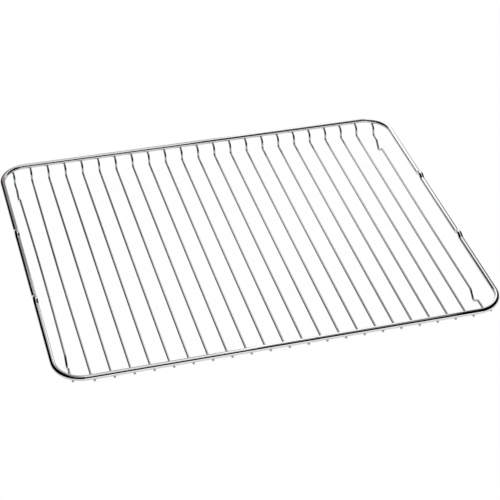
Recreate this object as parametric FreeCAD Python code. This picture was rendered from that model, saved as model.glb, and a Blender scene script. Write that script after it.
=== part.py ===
import FreeCAD, Part
import math
import os

# A welded wire rack: a closed rim of thick round wire, and thinner cross wires that run
# front to back. Each cross wire is welded under the rim at both ends and drops down a short
# leg to the tray level: the rear legs stand nearly upright and the front legs slope. The first
# and last cross wires dip twice to make the feet, and each side of the rim has two small
# upward humps that stop the rack as it is drawn out. Three of the cross wires are a little
# bowed.
#
# Millimetres. X is the width, Y the depth with the front at -Y, Z is up. The origin is in
# the middle of the rack, on the surface that its feet stand on.

# Driving dimensions
overall_width = 466.0
overall_depth = 375.0
rim_wire_d = 5.6
rim_corner_r = 29.0          # centre line of the rim's corners
cross_wire_d = 2.5
cross_wire_count = 23
cross_wire_pitch = 19.5
foot_wire_gap = 20.4         # each foot wire to the cross wire next to it
tray_drop = 14.4             # centre of the rim down to the centre of the tray wires
weld_set_down = 0.25         # how far a cross wire sinks into the rim at its weld

# Wire ends: level under the rim, then down the leg to the tray
front_overhang = 1.8         # level end past the rim's centre line
rear_overhang = 0.8
end_round = 0.4              # softened edge of a cut wire end
front_leg_inset = 14.2       # rim's centre line to the foot of a leg
rear_leg_inset = 8.4
front_leg_lean = 10.4        # top of a leg stands this much nearer to the rim
rear_leg_lean = 2.0
leg_top_bend_r = 6.0
leg_foot_bend_r = 2.6

# Feet: V-shaped dips in the two end wires
front_foot_inset = 42.7      # rim's front centre line to the middle of a front foot
rear_foot_inset = 33.6       # rim's rear centre line to the middle of a rear foot
foot_span = 20.0             # between the corners where a dip starts and ends
foot_drop = 8.0              # tray level to the sharp point of the V
foot_bend_r = 4.0

# Bows: how far the middle of a wire stands off, towards +X, the line between its ends
bow_of = {"left_foot_wire": 2.3, "cross_wire_02": -1.1, "right_foot_wire": -1.0}
bow_bend_r = 8000.0

# Stop humps on the rim's two sides
hump_offset = 58.0           # middle of the rack to the middle of a hump
hump_span = 13.0
hump_rise = 3.0              # rim's centre line to the sharp top of the hump
hump_bend_r = 5.0

# Worked-out dimensions
rim_r = rim_wire_d / 2
wire_r = cross_wire_d / 2
half_width = overall_width / 2 - rim_r
half_depth = overall_depth / 2 - rim_r
foot_slope = math.atan2(foot_drop, foot_span / 2)
foot_depth = foot_drop - foot_bend_r * (1 / math.cos(foot_slope) - 1)
tray_z = foot_depth + wire_r
rim_z = tray_z + tray_drop
wire_end_z = rim_z - rim_r - wire_r + weld_set_down


def bend(corner, before, after, radius):
    """The tangent arc that rounds a corner of a wire's path: start, middle and end points."""
    towards_before = (before - corner).normalize()
    towards_after = (after - corner).normalize()
    half_angle = towards_before.getAngle(towards_after) / 2
    tangent = radius / math.tan(half_angle)
    bisector = (towards_before + towards_after).normalize()
    middle = corner + bisector * (radius / math.sin(half_angle) - radius)
    return corner + towards_before * tangent, middle, corner + towards_after * tangent


def bent_path(corners, closed=False):
    """Straight runs joined by tangent arcs. A corner is (point, bend radius)."""
    count = len(corners)
    points = [point for point, radius in corners]
    arcs = []
    for index, (point, radius) in enumerate(corners):
        if closed or 0 < index < count - 1:
            arcs.append(bend(point, points[index - 1], points[(index + 1) % count], radius))
    edges = []
    start = arcs[-1][2] if closed else points[0]
    for first, middle, last in arcs:
        edges.append(Part.LineSegment(start, first).toShape())
        edges.append(Part.Arc(first, middle, last).toShape())
        start = last
    if not closed:
        edges.append(Part.LineSegment(start, points[-1]).toShape())
    return Part.Wire(edges)


def bent_wire(path, radius):
    """Round wire along a path."""
    first = path.OrderedEdges[0]
    start = first.valueAt(first.FirstParameter)
    direction = first.tangentAt(first.FirstParameter)
    section = Part.Wire(Part.makeCircle(radius, start, direction))
    return path.makePipeShell([section], True, False)


def rim_side(side):
    """Corners of one side of the rim, front to back: the two stop humps."""
    x = side * half_width
    corners = []
    for middle in (-hump_offset, hump_offset):
        for along, rise in ((-hump_span / 2, 0), (0, hump_rise), (hump_span / 2, 0)):
            point = FreeCAD.Vector(x, middle + along, rim_z + rise)
            corners.append((point, hump_bend_r))
    return corners


def rim_corner(side, end):
    return FreeCAD.Vector(side * half_width, end * half_depth, rim_z), rim_corner_r


def rim_frame():
    """The closed rim, once round from the front right corner."""
    corners = [rim_corner(1, -1)] + rim_side(1) + [rim_corner(1, 1)]
    corners += [rim_corner(-1, 1)] + rim_side(-1)[::-1] + [rim_corner(-1, -1)]
    return bent_wire(bent_path(corners, closed=True), rim_r)


def rim_line_y(x):
    """Distance from the middle of the rack to the rim's rear centre line, at a given X."""
    into_corner = max(0.0, abs(x) - (half_width - rim_corner_r))
    return half_depth - rim_corner_r + math.sqrt(rim_corner_r ** 2 - into_corner ** 2)


def wire_end(x, overhang, leg_inset, leg_lean):
    """Corners of a wire's end in the rear half, from its cut end down its leg to the tray."""
    rim_y = rim_line_y(x)
    leg_top_y = rim_y - leg_inset + leg_lean
    return [
        (FreeCAD.Vector(x, rim_y + overhang, wire_end_z), 0),
        (FreeCAD.Vector(x, leg_top_y, wire_end_z), leg_top_bend_r),
        (FreeCAD.Vector(x, rim_y - leg_inset, tray_z), leg_foot_bend_r),
    ]


def wire_foot(x, inset):
    """Corners of a foot in the rear half of the rack, from back to front."""
    middle = half_depth - inset
    corners = []
    for along, drop in ((foot_span / 2, 0), (0, foot_drop), (-foot_span / 2, 0)):
        corners.append((FreeCAD.Vector(x, middle + along, tray_z - drop), foot_bend_r))
    return corners


def mirrored(corners):
    """The same corners at the front of the rack, in the opposite order."""
    front = [(FreeCAD.Vector(point.x, -point.y, point.z), radius) for point, radius in corners]
    return front[::-1]


def bowed(corners, bow):
    """The corners moved sideways: fully at the middle of the rack, not at all at the rim."""
    moved = []
    for point, radius in corners:
        aside = bow * (1 - (point.y / half_depth) ** 2)
        moved.append((FreeCAD.Vector(point.x + aside, point.y, point.z), radius))
    return moved


def cross_wire(x, rim, with_feet, bow):
    """One cross wire, back to front. The rim is cut out of it, so each weld is face to face."""
    rear = wire_end(x, rear_overhang, rear_leg_inset, rear_leg_lean)
    front = mirrored(wire_end(x, front_overhang, front_leg_inset, front_leg_lean))
    end_ys = (rear[0][0].y, front[-1][0].y)
    if with_feet:
        rear += wire_foot(x, rear_foot_inset)
        front = mirrored(wire_foot(x, front_foot_inset)) + front
    if bow:
        middle = (FreeCAD.Vector(x, 0, tray_z), bow_bend_r)
        path = bent_path(bowed(rear + [middle] + front, bow))
    else:
        path = bent_path(rear + front)
    wire = bent_wire(path, wire_r)
    cut_edges = []
    for edge in wire.Edges:
        if min(abs(edge.CenterOfMass.y - end_y) for end_y in end_ys) < end_round / 2:
            cut_edges.append(edge)
    return wire.makeFillet(end_round, cut_edges).cut(rim)


os.makedirs("parts", exist_ok=True)

rim = rim_frame()
nodes = {"rim_frame": rim}
for number in range(1, cross_wire_count + 1):
    x = (number - (cross_wire_count + 1) / 2) * cross_wire_pitch
    if number == 1:
        name = "left_foot_wire"
        x -= foot_wire_gap - cross_wire_pitch
    elif number == cross_wire_count:
        name = "right_foot_wire"
        x += foot_wire_gap - cross_wire_pitch
    else:
        name = "cross_wire_%02d" % number
    nodes[name] = cross_wire(x, rim, with_feet="foot" in name, bow=bow_of.get(name, 0))

for name, shape in nodes.items():
    shape.exportStep("parts/%s.step" % name)
    print("%-16s solids %d valid %s volume %.1f" % (name, len(shape.Solids), shape.isValid(), shape.Volume))
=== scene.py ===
import math
import random

import bmesh
import bpy
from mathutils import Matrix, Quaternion, Vector


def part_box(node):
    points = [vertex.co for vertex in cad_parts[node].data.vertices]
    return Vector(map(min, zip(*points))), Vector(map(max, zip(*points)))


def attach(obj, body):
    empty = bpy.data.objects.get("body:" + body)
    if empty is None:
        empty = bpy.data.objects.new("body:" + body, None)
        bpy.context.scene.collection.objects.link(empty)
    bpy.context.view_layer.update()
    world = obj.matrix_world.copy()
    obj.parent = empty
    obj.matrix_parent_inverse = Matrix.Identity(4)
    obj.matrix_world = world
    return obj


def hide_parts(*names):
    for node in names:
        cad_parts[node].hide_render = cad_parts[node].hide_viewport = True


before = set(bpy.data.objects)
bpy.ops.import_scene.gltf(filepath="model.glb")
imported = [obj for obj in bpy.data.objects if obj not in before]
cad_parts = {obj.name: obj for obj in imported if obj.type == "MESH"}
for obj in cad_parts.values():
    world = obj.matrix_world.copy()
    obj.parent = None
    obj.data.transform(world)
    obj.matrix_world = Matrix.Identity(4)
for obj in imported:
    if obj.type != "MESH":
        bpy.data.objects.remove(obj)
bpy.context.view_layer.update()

# A chrome-plated welded wire rack. The CAD nodes are the exact solids. Each wire is made again
# here as a finely divided sweep of the same wire, and the weld metal that the CAD leaves out is
# added at each joint. Metres, in the frame's own axes: X is the width, the front is at -Y, Z is up.

# Wire sizes and bends, the same as the CAD part's
RIM_WIRE_D = 0.0056
RIM_CORNER_R = 0.029
CROSS_WIRE_D = 0.0025
FRONT_OVERHANG = 0.0018
REAR_OVERHANG = 0.0008
END_ROUND = 0.0004
END_STEPS = 5
FRONT_LEG_INSET = 0.0142
REAR_LEG_INSET = 0.0084
FRONT_LEG_LEAN = 0.0104
REAR_LEG_LEAN = 0.0020
LEG_TOP_BEND_R = 0.0060
LEG_FOOT_BEND_R = 0.0026
FRONT_FOOT_INSET = 0.0427
REAR_FOOT_INSET = 0.0336
FOOT_SPAN = 0.0200
FOOT_DROP = 0.0080
FOOT_BEND_R = 0.0040
BOW_OF = {"left_foot_wire": 0.0023, "cross_wire_02": -0.0011, "right_foot_wire": -0.0010}
BOW_BEND_R = 8.0
HUMP_OFFSET = 0.058
HUMP_SPAN = 0.0130
HUMP_RISE = 0.0030
HUMP_BEND_R = 0.005
rim_r = RIM_WIRE_D / 2
wire_r = CROSS_WIRE_D / 2

# How finely the wires are divided
RIM_SIDES = 40
WIRE_SIDES = 28
BEND_STEP = math.radians(5)
FEWEST_BEND_STEPS = 4
RIM_RUN_STEP = 0.002
WIRE_RUN_STEP = 0.006
FEWEST_RUN_STEPS = 5

# Weld metal: a bead squeezed out round each joint, and the swell of the rim's own butt weld
BEAD_R = 0.00034
BEAD_HALF_WIDTH = 0.00078
BEAD_HALF_LENGTH = 0.00105
BEAD_CENTRE = -0.00020        # from the rim's centre line, outward
BEAD_STEPS = 32
BEAD_SIDES = 12
BEAD_SIZES = (0.9, 1.1)       # smallest and largest bead, as shares of BEAD_R
BEAD_LUMPS = (2, 3)           # how many lumps a bead may have round it
BEAD_UNEVENNESS = 0.18        # how much a lump adds to its radius
BEAD_SEED = 7
WELD_HAZE_REACH = 0.0035
BUTT_WELD_X = 0.026
BUTT_WELD_LENGTH = 0.0022
BUTT_WELD_SWELL = 0.00010

# Places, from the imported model
rim_low, rim_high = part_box("rim_frame")
half_width = rim_high.x - rim_r
half_depth = rim_high.y - rim_r
rim_z = rim_low.z + rim_r

# Camera: where it stands round the rack, and what it looks at
CAMERA_AZIMUTH = math.radians(-16.936)
CAMERA_ELEVATION = math.radians(37.150)
CAMERA_ROLL = math.radians(1.672)
CAMERA_DISTANCE = 1.66624
CAMERA_LENS = 111.498
CAMERA_TARGET = Vector((0.00935, -0.01073, 0.00813))

# Studio: the surround, the floor, and the cards that the chrome mirrors. A card is its name, the
# axis it is square to, its place along that axis, its (low, high) along the other two, and level.
# The surround has one level where it is seen, and lower ones on the floor and in the chrome.
SURROUND = 1.0
SURROUND_ON_FLOOR = 0.30
SURROUND_MIRRORED = 0.40
FLOOR_HALF_SIZE = 25.0
FLOOR_PALE = (0.930, 0.930, 0.930)
FLOOR_PALER = (0.945, 0.945, 0.945)
FLOOR_MOTTLE = (14.0, 14.0, 14.0)   # cycles a metre
FLOOR_ROUGHNESS = 0.85
FLOOR_GLOW = 0.728
CARDS = (
    ("black_card_left", 0, -0.320, (-0.055, 0.715), (0.0, 3.60), 0.0),
    ("black_card_low_left", 0, -0.365, (-2.36, 10.4), (0.0, 0.405), 0.0),
    ("black_card_right", 0, 1.63, (-2.67, 1.64), (0.0, 3.85), 0.0),
    ("black_card_front", 1, -2.92, (-4.0, 4.0), (0.474, 6.10), 0.0),
    ("black_card_high_right", 1, -2.90, (1.45, 4.0), (5.5, 6.8), 0.0),
    ("white_card_low_front", 1, -3.18, (-4.0, 4.0), (0.0, 0.505), 1.65),
    ("white_card_on_the_floor", 2, 0.001, (-4.0, 4.0), (-3.18, -0.24), 1.45),
    ("white_card_behind", 1, 0.438, (0.112, 0.434), (0.110, 2.32), 1.90),
    ("white_card_far_behind", 1, 5.00, (-4.16, -1.30), (0.674, 4.15), 1.35),
    ("white_card_above", 2, 1.97, (-0.140, 0.430), (-0.912, 2.51), 1.12),
)

# Chrome colours: the plate's two shades on the rim and on the cross wires, where the cross wires'
# plate is painted much darker than the rim's although both are one chrome, a painted shade; the shade
# in the lines that the drawing die left, and the tint close to a weld
RIM_PLATE = ((0.602, 0.610, 0.620), (0.620, 0.617, 0.610))
# The cross wires' plate: the rim's chrome painted darker, a painted shade
WIRE_PLATE_PAINTED_SHADE = ((0.376, 0.383, 0.393), (0.393, 0.390, 0.383))
LINE_SHADE = (0.350, 0.350, 0.355)
LINE_SHADING = 0.12           # most that a line is shaded
WELD_TINT = (0.400, 0.388, 0.372)
WELD_TINTING = 0.45           # share of the tint at the weld itself

# Chrome detail. Patterns are in cycles a metre, and bump heights in metres.
RIM_DRAW_LINES = (5000.0, 45.0, 1.0)
WIRE_DRAW_LINES = (9000.0, 45.0, 1.0)
CLOUDS = (90.0, 90.0, 90.0)
SPECKS = (2600.0, 2600.0, 2600.0)
WAVES = (55.0, 55.0, 55.0)
PLATE_ROUGHNESS = (0.012, 0.035)
LINE_ROUGHNESS = 0.012        # added to the plate's, and so is the weld's
WELD_ROUGHNESS = 0.18
WAVE_BUMP = (0.00025, 0.15)   # height and strength
LINE_BUMP = (0.000002, 0.3)
SPECK_BUMP = (0.000002, 0.2)
NOISE_SPAN = (0.3, 0.7)       # where nearly all of a noise's values lie

# Sockets of Blender's Mix node: the two inputs and the output, for colours and for numbers
COLOUR_SOCKETS = (6, 7, 2)
NUMBER_SOCKETS = (2, 3, 0)

X_AXIS = Vector((1, 0, 0))
Z_AXIS = Vector((0, 0, 1))


# Centre lines

def bend_points(corner, before, after, radius):
    """Points of the tangent arc that rounds a corner."""
    towards_before = (before - corner).normalized()
    towards_after = (after - corner).normalized()
    half_angle = towards_before.angle(towards_after) / 2
    bisector = (towards_before + towards_after).normalized()
    centre = corner + bisector * (radius / math.sin(half_angle))
    first = corner + towards_before * (radius / math.tan(half_angle)) - centre
    turn = math.pi - 2 * half_angle
    axis = towards_after.cross(towards_before).normalized()
    steps = max(FEWEST_BEND_STEPS, round(turn / BEND_STEP))
    return [centre + Quaternion(axis, turn * step / steps) @ first for step in range(steps + 1)]


def run_points(start, end, longest):
    """Evenly spaced points strictly between the two ends of a straight run."""
    count = max(FEWEST_RUN_STEPS, round((end - start).length / longest))
    return [start.lerp(end, step / count) for step in range(1, count)]


def bent_line(corners, longest, closed=False):
    """Centre line of a bent wire. A corner is (point, bend radius), and an end has radius 0."""
    points = [point for point, radius in corners]
    stretches = []
    for index, (point, radius) in enumerate(corners):
        if radius:
            after = points[(index + 1) % len(points)]
            stretches.append(bend_points(point, points[index - 1], after, radius))
        else:
            stretches.append([point])
    line = []
    for index, stretch in enumerate(stretches):
        line += stretch
        if closed or index < len(stretches) - 1:
            line += run_points(stretch[-1], stretches[(index + 1) % len(stretches)][0], longest)
    return line


def rim_line_y(x):
    """Distance from the middle of the rack to the rim's rear centre line, at a given X."""
    into_corner = max(0.0, abs(x) - (half_width - RIM_CORNER_R))
    return half_depth - RIM_CORNER_R + math.sqrt(RIM_CORNER_R ** 2 - into_corner ** 2)


def rim_turn(x):
    """Angle between the rim's rear centre line and the X axis, at a given X."""
    into_corner = max(0.0, abs(x) - (half_width - RIM_CORNER_R))
    return math.copysign(math.asin(into_corner / RIM_CORNER_R), -x)


# Meshes

def mesh_object(name, mesh):
    """A smooth-shaded object from a bmesh, with its normals outward."""
    bmesh.ops.recalc_face_normals(mesh, faces=mesh.faces[:])
    for face in mesh.faces:
        face.smooth = True
    data = bpy.data.meshes.new(name)
    mesh.to_mesh(data)
    mesh.free()
    piece = bpy.data.objects.new(name, data)
    bpy.context.scene.collection.objects.link(piece)
    return piece


def swept_wire(name, line, radii, sides, side_of, closed=False):
    """Round wire along a line, a radius for each point. side_of(tangent) is a ring's first axis.
    The UV map "wire" runs round the wire in U and along it in V, both in metres."""
    mesh = bmesh.new()
    uv_layer = mesh.loops.layers.uv.new("wire")
    count = len(line)
    rings = []
    travelled = [0.0]
    for index, point in enumerate(line):
        before = line[index - 1] if closed or index else point
        after = line[(index + 1) % count] if closed or index < count - 1 else point
        tangent = (after - before).normalized()
        side = side_of(tangent)
        up = side.cross(tangent)
        ring = []
        for step in range(sides):
            angle = 2 * math.pi * step / sides
            offset = (side * math.cos(angle) + up * math.sin(angle)) * radii[index]
            ring.append(mesh.verts.new(point + offset))
        rings.append(ring)
        travelled.append(travelled[-1] + (line[(index + 1) % count] - point).length)
    girth = 2 * math.pi * max(radii)
    for index in range(count if closed else count - 1):
        ring, following = rings[index], rings[(index + 1) % count]
        for step in range(sides):
            beside = (step + 1) % sides
            face = mesh.faces.new((ring[step], following[step], following[beside], ring[beside]))
            across = (step, step, step + 1, step + 1)
            along = (index, index + 1, index + 1, index)
            for loop, turn, place in zip(face.loops, across, along):
                loop[uv_layer].uv = (girth * turn / sides, travelled[place])
    if not closed:
        mesh.faces.new(rings[0])
        mesh.faces.new(rings[-1])
    return mesh_object(name, mesh)


def mark_weld_haze(piece, welds):
    """Writes how near each point is to a weld, from 1 at the weld to 0 away from it."""
    haze = piece.data.attributes.new("weld_haze", "FLOAT", "POINT")
    values = []
    for vertex in piece.data.vertices:
        nearest = min((vertex.co - weld).length for weld in welds)
        values.append(math.exp(-(nearest / WELD_HAZE_REACH) ** 2))
    haze.data.foreach_set("value", values)


def add_piece(piece, material):
    """Gives a finished piece its material, and rides it on the one body."""
    piece.data.materials.append(material)
    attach(piece, "root")


# The rim

def rim_side(side):
    """Corners of one side of the rim, front to back: the two stop humps."""
    corners = []
    for middle in (-HUMP_OFFSET, HUMP_OFFSET):
        for along, rise in ((-HUMP_SPAN / 2, 0), (0, HUMP_RISE), (HUMP_SPAN / 2, 0)):
            point = Vector((side * half_width, middle + along, rim_z + rise))
            corners.append((point, HUMP_BEND_R))
    return corners


def rim_corner(side, end):
    return Vector((side * half_width, end * half_depth, rim_z)), RIM_CORNER_R


def rim_radius(point):
    """The rim's wire swells a little at its own butt weld, in the front bar."""
    if point.y > -half_depth + rim_r:
        return rim_r
    away = (point.x - BUTT_WELD_X) / BUTT_WELD_LENGTH
    return rim_r + BUTT_WELD_SWELL * math.exp(-away * away)


def build_rim(welds, material):
    corners = [rim_corner(1, -1)] + rim_side(1) + [rim_corner(1, 1)]
    corners += [rim_corner(-1, 1)] + rim_side(-1)[::-1] + [rim_corner(-1, -1)]
    line = bent_line(corners, RIM_RUN_STEP, closed=True)
    radii = [rim_radius(point) for point in line]
    rim = swept_wire("rim_wire", line, radii, RIM_SIDES,
                     lambda tangent: tangent.cross(Z_AXIS).normalized(), closed=True)
    mark_weld_haze(rim, welds + [Vector((BUTT_WELD_X, -half_depth, rim_z))])
    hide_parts("rim_frame")
    add_piece(rim, material)


# Cross wires

def foot_depth():
    """How far a foot's rounded tip hangs below the tray level."""
    slope = math.atan2(FOOT_DROP, FOOT_SPAN / 2)
    return FOOT_DROP - FOOT_BEND_R * (1 / math.cos(slope) - 1)


def bow_aside(bow, y):
    """How far a bowed wire stands aside: fully at the middle of the rack, not at all at the rim."""
    return bow * (1 - (y / half_depth) ** 2)


def wire_end(x, tray_z, end_z, overhang, leg_inset, leg_lean):
    """Corners of a wire's end in the rear half, from its cut end down its leg to the tray."""
    rim_y = rim_line_y(x)
    return [
        (Vector((x, rim_y + overhang, end_z)), 0),
        (Vector((x, rim_y - leg_inset + leg_lean, end_z)), LEG_TOP_BEND_R),
        (Vector((x, rim_y - leg_inset, tray_z)), LEG_FOOT_BEND_R),
    ]


def wire_foot(x, tray_z, inset):
    """Corners of a foot in the rear half of the rack, from back to front."""
    middle = half_depth - inset
    corners = []
    for along, drop in ((FOOT_SPAN / 2, 0), (0, FOOT_DROP), (-FOOT_SPAN / 2, 0)):
        corners.append((Vector((x, middle + along, tray_z - drop)), FOOT_BEND_R))
    return corners


def mirrored(corners):
    """The same corners at the front of the rack, in the opposite order."""
    front = [(Vector((point.x, -point.y, point.z)), radius) for point, radius in corners]
    return front[::-1]


def wire_corners(x, tray_z, end_z, with_feet, bow):
    """Corners of a cross wire, back to front."""
    rear = wire_end(x, tray_z, end_z, REAR_OVERHANG, REAR_LEG_INSET, REAR_LEG_LEAN)
    front = mirrored(wire_end(x, tray_z, end_z, FRONT_OVERHANG, FRONT_LEG_INSET, FRONT_LEG_LEAN))
    if with_feet:
        rear += wire_foot(x, tray_z, REAR_FOOT_INSET)
        front = mirrored(wire_foot(x, tray_z, FRONT_FOOT_INSET)) + front
    if bow:
        rear.append((Vector((x, 0, tray_z)), BOW_BEND_R))
    corners = rear + front
    for point, radius in corners:
        point.x += bow_aside(bow, point.y)
    return corners


def end_steps(end, inner):
    """Short steps in from a cut end, and the radii that round its edge."""
    inward = (inner - end).normalized()
    angles = [math.pi / 2 * step / END_STEPS for step in range(END_STEPS + 1)]
    points = [end + inward * END_ROUND * (1 - math.cos(angle)) for angle in angles]
    radii = [wire_r - END_ROUND * (1 - math.sin(angle)) for angle in angles]
    return points, radii


def build_cross_wire(node, material):
    """One cross wire. Returns the places of its welds, rear and front, under the rim."""
    low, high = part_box(node)
    bow = BOW_OF.get(node, 0)
    # The box side that a bow leans away from is where the front cut end stands
    end_x = high.x - wire_r if bow < 0 else low.x + wire_r
    x = end_x - bow_aside(bow, rim_line_y(end_x) + FRONT_OVERHANG)
    end_z = high.z - wire_r
    with_feet = "foot" in node
    tray_z = low.z + wire_r + (foot_depth() if with_feet else 0)
    line = bent_line(wire_corners(x, tray_z, end_z, with_feet, bow), WIRE_RUN_STEP)
    rear_points, rear_radii = end_steps(line[0], line[1])
    front_points, front_radii = end_steps(line[-1], line[-2])
    radii = rear_radii + [wire_r] * (len(line) - 2) + front_radii[::-1]
    line = rear_points + line[1:-1] + front_points[::-1]
    wire = swept_wire(node + "_chrome", line, radii, WIRE_SIDES, lambda tangent: X_AXIS)
    welds = [Vector((x, end * rim_line_y(x), end_z + wire_r)) for end in (1, -1)]
    mark_weld_haze(wire, welds)
    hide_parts(node)
    add_piece(wire, material)
    return welds


# Weld beads

def bead_point(weld, end, angle):
    """A point of a bead's line: an oval round the joint, laid on the underside of the rim."""
    across = BEAD_HALF_WIDTH * math.cos(angle)
    along = end * (BEAD_CENTRE + BEAD_HALF_LENGTH * math.sin(angle))
    turn = end * rim_turn(weld.x)
    from_rim_line = along * math.cos(turn) - across * math.sin(turn)
    height = rim_z - math.sqrt(rim_r ** 2 - from_rim_line ** 2)
    return Vector((weld.x + across, weld.y + along, height))


def build_bead(name, weld, end, material, rng):
    """Metal squeezed out round one joint, a little uneven from weld to weld."""
    phase = rng.uniform(0, 2 * math.pi)
    lumps = rng.choice(BEAD_LUMPS)
    size = rng.uniform(*BEAD_SIZES)
    line = []
    radii = []
    for step in range(BEAD_STEPS):
        angle = 2 * math.pi * step / BEAD_STEPS
        line.append(bead_point(weld, end, angle))
        radii.append(BEAD_R * size * (1 + BEAD_UNEVENNESS * math.sin(lumps * angle + phase)))
    bead = swept_wire(name, line, radii, BEAD_SIDES,
                      lambda tangent: tangent.cross(Z_AXIS).normalized(), closed=True)
    mark_weld_haze(bead, [weld])
    add_piece(bead, material)


# Chrome

def add_node(tree, kind, **settings):
    """A shader node with some of its properties set."""
    made = tree.nodes.new(kind)
    for name, value in settings.items():
        setattr(made, name, value)
    return made


def add_noise(tree, place, cycles, detail=2.0):
    """Noise over stretched coordinates, with so many cycles a metre along each axis."""
    stretch = add_node(tree, "ShaderNodeMapping")
    stretch.inputs["Scale"].default_value = cycles
    noise = add_node(tree, "ShaderNodeTexNoise")
    noise.inputs["Scale"].default_value = 1.0
    noise.inputs["Detail"].default_value = detail
    tree.links.new(place, stretch.inputs["Vector"])
    tree.links.new(stretch.outputs["Vector"], noise.inputs["Vector"])
    return noise.outputs["Fac"]


def add_range(tree, noise, low, high):
    """Spreads a noise's usual values over low..high."""
    spread = add_node(tree, "ShaderNodeMapRange")
    for name, number in zip(("From Min", "From Max", "To Min", "To Max"), NOISE_SPAN + (low, high)):
        spread.inputs[name].default_value = number
    tree.links.new(noise, spread.inputs["Value"])
    return spread.outputs["Result"]


def add_mix(tree, factor, first, second):
    """A colour that goes from first to second. Either can be a colour or another node's output."""
    mix = add_node(tree, "ShaderNodeMix", data_type="RGBA")
    tree.links.new(factor, mix.inputs["Factor"])
    first_in, second_in, out = COLOUR_SOCKETS
    for socket, value in ((mix.inputs[first_in], first), (mix.inputs[second_in], second)):
        if isinstance(value, tuple):
            socket.default_value = value + (1.0,)
        else:
            tree.links.new(value, socket)
    return mix.outputs[out]


def add_switch(tree, switch, off, on):
    """One of two numbers: on where the switch is 1, else off, which can be a node's output."""
    mix = add_node(tree, "ShaderNodeMix", data_type="FLOAT")
    tree.links.new(switch, mix.inputs["Factor"])
    off_in, on_in, out = NUMBER_SOCKETS
    mix.inputs[on_in].default_value = on
    if isinstance(off, float):
        mix.inputs[off_in].default_value = off
    else:
        tree.links.new(off, mix.inputs[off_in])
    return mix.outputs[out]


def add_math(tree, operation, first, second):
    """Two values put together. The second can be a number."""
    made = add_node(tree, "ShaderNodeMath", operation=operation)
    tree.links.new(first, made.inputs[0])
    if isinstance(second, float):
        made.inputs[1].default_value = second
    else:
        tree.links.new(second, made.inputs[1])
    return made.outputs[0]


def add_bump(tree, pattern, height_and_strength, below=None):
    """A surface's normal, bumped by a pattern, over the normal from another bump below it."""
    bump = add_node(tree, "ShaderNodeBump")
    bump.inputs["Distance"].default_value, bump.inputs["Strength"].default_value = height_and_strength
    tree.links.new(pattern, bump.inputs["Height"])
    if below:
        tree.links.new(below, bump.inputs["Normal"])
    return bump.outputs["Normal"]


def chrome(name, plate_colours, draw_lines):
    """Bright chrome plate over drawn wire. The plate clouds from one colour to the other in soft
    patches, and is duller and warmer close to the welds. draw_lines is the pattern of the lines
    that the die left, round the wire and along it."""
    material = bpy.data.materials.new(name)
    material.use_nodes = True
    tree = material.node_tree
    shader = tree.nodes["Principled BSDF"]
    shader.inputs["Metallic"].default_value = 1.0
    wire_map = add_node(tree, "ShaderNodeUVMap", uv_map="wire").outputs["UV"]
    place = add_node(tree, "ShaderNodeTexCoord").outputs["Object"]
    haze = add_node(tree, "ShaderNodeAttribute", attribute_name="weld_haze").outputs["Fac"]

    lines = add_noise(tree, wire_map, draw_lines, detail=3.0)
    clouds = add_noise(tree, place, CLOUDS, detail=3.0)
    specks = add_noise(tree, place, SPECKS, detail=1.0)
    waves = add_noise(tree, place, WAVES, detail=0.0)

    plate = add_mix(tree, add_range(tree, clouds, 0.0, 1.0), *plate_colours)
    lined = add_mix(tree, add_range(tree, lines, 0.0, LINE_SHADING), plate, LINE_SHADE)
    tinted = add_mix(tree, add_math(tree, "MULTIPLY", haze, WELD_TINTING), lined, WELD_TINT)
    tree.links.new(tinted, shader.inputs["Base Color"])

    rough = add_math(tree, "ADD", add_range(tree, clouds, *PLATE_ROUGHNESS),
                     add_range(tree, lines, 0.0, LINE_ROUGHNESS))
    dulled = add_math(tree, "ADD", rough, add_math(tree, "MULTIPLY", haze, WELD_ROUGHNESS))
    tree.links.new(dulled, shader.inputs["Roughness"])

    normal = add_bump(tree, waves, WAVE_BUMP)
    normal = add_bump(tree, lines, LINE_BUMP, normal)
    normal = add_bump(tree, specks, SPECK_BUMP, normal)
    tree.links.new(normal, shader.inputs["Normal"])
    return material


# Studio

def studio_card(name, axis, place, first, second, level):
    """A flat card square to one axis (0 is X, 1 is Y, 2 is Z), at that place along it. first and
    second are its (low, high) along the other two axes. Only reflections see it: white cards make
    the bright bands in the chrome and black ones the dark lines."""
    mesh = bmesh.new()
    corners = ((0, 0), (1, 0), (1, 1), (0, 1))
    others = [other for other in range(3) if other != axis]
    verts = []
    for along_first, along_second in corners:
        point = Vector((0, 0, 0))
        point[axis] = place
        point[others[0]] = first[along_first]
        point[others[1]] = second[along_second]
        verts.append(mesh.verts.new(point))
    mesh.faces.new(verts)
    card = mesh_object(name, mesh)
    material = bpy.data.materials.new(name)
    material.use_nodes = True
    tree = material.node_tree
    tree.nodes.remove(tree.nodes["Principled BSDF"])
    glow = add_node(tree, "ShaderNodeEmission")
    glow.inputs["Strength"].default_value = level
    tree.links.new(glow.outputs["Emission"], tree.nodes["Material Output"].inputs["Surface"])
    card.data.materials.append(material)
    card.visible_camera = False
    card.visible_diffuse = False
    card.visible_shadow = False


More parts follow.
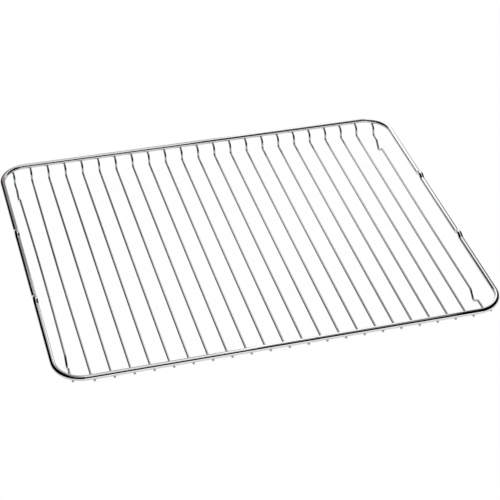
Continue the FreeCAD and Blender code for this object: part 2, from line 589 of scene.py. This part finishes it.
def build_floor():
    """A wide, plain, pale floor."""
    mesh = bmesh.new()
    bmesh.ops.create_grid(mesh, x_segments=1, y_segments=1, size=FLOOR_HALF_SIZE)
    floor = mesh_object("floor", mesh)
    material = bpy.data.materials.new("floor")
    material.use_nodes = True
    tree = material.node_tree
    shader = tree.nodes["Principled BSDF"]
    place = add_node(tree, "ShaderNodeTexCoord").outputs["Object"]
    mottle = add_range(tree, add_noise(tree, place, FLOOR_MOTTLE), 0.0, 1.0)
    tree.links.new(add_mix(tree, mottle, FLOOR_PALE, FLOOR_PALER), shader.inputs["Base Color"])
    shader.inputs["Roughness"].default_value = FLOOR_ROUGHNESS
    shader.inputs["Specular IOR Level"].default_value = 0.0
    shader.inputs["Emission Strength"].default_value = FLOOR_GLOW
    floor.data.materials.append(material)


def light_studio():
    """An even white surround, which is dim where it lights the floor and where the chrome mirrors
    it, and the cards that stand in it."""
    world = bpy.data.worlds.new("studio")
    bpy.context.scene.world = world
    world.use_nodes = True
    tree = world.node_tree
    surround = tree.nodes["Background"]
    surround.inputs["Color"].default_value = (1.0, 1.0, 1.0, 1.0)
    rays = add_node(tree, "ShaderNodeLightPath")
    level = add_switch(tree, rays.outputs["Is Camera Ray"], SURROUND_ON_FLOOR, SURROUND)
    level = add_switch(tree, rays.outputs["Is Glossy Ray"], level, SURROUND_MIRRORED)
    tree.links.new(level, surround.inputs["Strength"])
    bpy.context.scene.view_settings.view_transform = "Standard"
    for card in CARDS:
        studio_card(*card)


def add_camera():
    data = bpy.data.cameras.new("camera")
    data.lens = CAMERA_LENS
    camera = bpy.data.objects.new("camera", data)
    bpy.context.scene.collection.objects.link(camera)
    level = math.cos(CAMERA_ELEVATION)
    back = Vector((math.sin(CAMERA_AZIMUTH) * level, -math.cos(CAMERA_AZIMUTH) * level,
                   math.sin(CAMERA_ELEVATION)))
    camera.location = CAMERA_TARGET + back * CAMERA_DISTANCE
    camera.rotation_mode = "QUATERNION"
    upright = (-back).to_track_quat("-Z", "Y")
    camera.rotation_quaternion = upright @ Quaternion(Z_AXIS, CAMERA_ROLL)
    bpy.context.scene.camera = camera


# The rack, and the studio round it

# The cross wires and their weld beads get the darker chrome, a painted shade
shaded_wire_chrome = chrome("cross_wire_chrome", WIRE_PLATE_PAINTED_SHADE, WIRE_DRAW_LINES)
rim_chrome = chrome("rim_wire_chrome", RIM_PLATE, RIM_DRAW_LINES)
rng = random.Random(BEAD_SEED)
welds = []
for node in sorted(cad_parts):
    if node == "rim_frame":
        continue
    joints = build_cross_wire(node, shaded_wire_chrome)
    for weld, end, place in zip(joints, (1, -1), ("rear", "front")):
        build_bead("weld_%s_%s" % (place, node), weld, end, shaded_wire_chrome, rng)
    welds += joints
build_rim(welds, rim_chrome)
build_floor()
light_studio()
add_camera()
